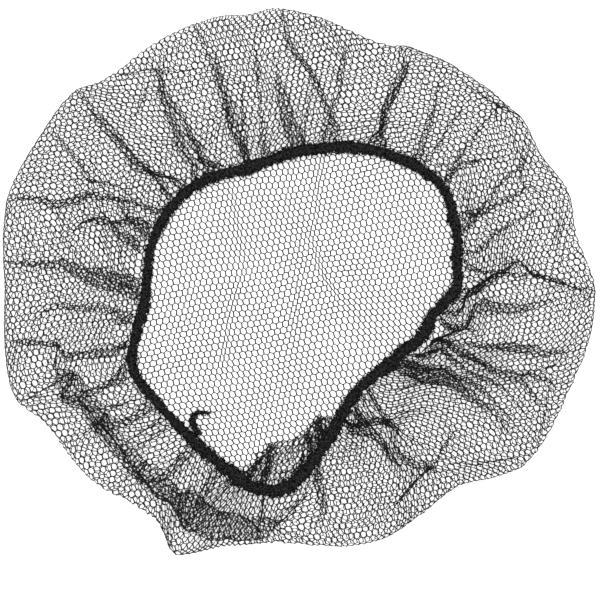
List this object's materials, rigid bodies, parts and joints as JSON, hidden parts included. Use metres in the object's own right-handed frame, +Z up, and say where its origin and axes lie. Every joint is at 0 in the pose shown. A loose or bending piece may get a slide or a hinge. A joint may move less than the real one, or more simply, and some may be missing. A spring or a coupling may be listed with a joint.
{
  "type": "hairnet",
  "caption": "Knitted honeycomb hairnet lying open side up: a single crown layer inside a closed elastic loop, its edge folded back and gathered to the elastic all round.",
  "frame": {"origin": "bottom centre of the bounding box, on the surface that the crown lies on", "axes": "+Z up, out of the open side; +X to the right and +Y away from a viewer who looks straight down with the loop's narrow end towards them"},
  "size_m": [0.2676, 0.249, 0.0167],
  "materials": {
    "net_thread": "fine twisted nylon thread, charcoal black, slight sheen",
    "knitted_elastic": "matt black knitted elastic with a slightly fuzzy edge"
  },
  "bodies": {
    "root": {"net": "net_thread", "elastic_band": "knitted_elastic", "band_tail": "knitted_elastic"}
  },
  "joints": []
}
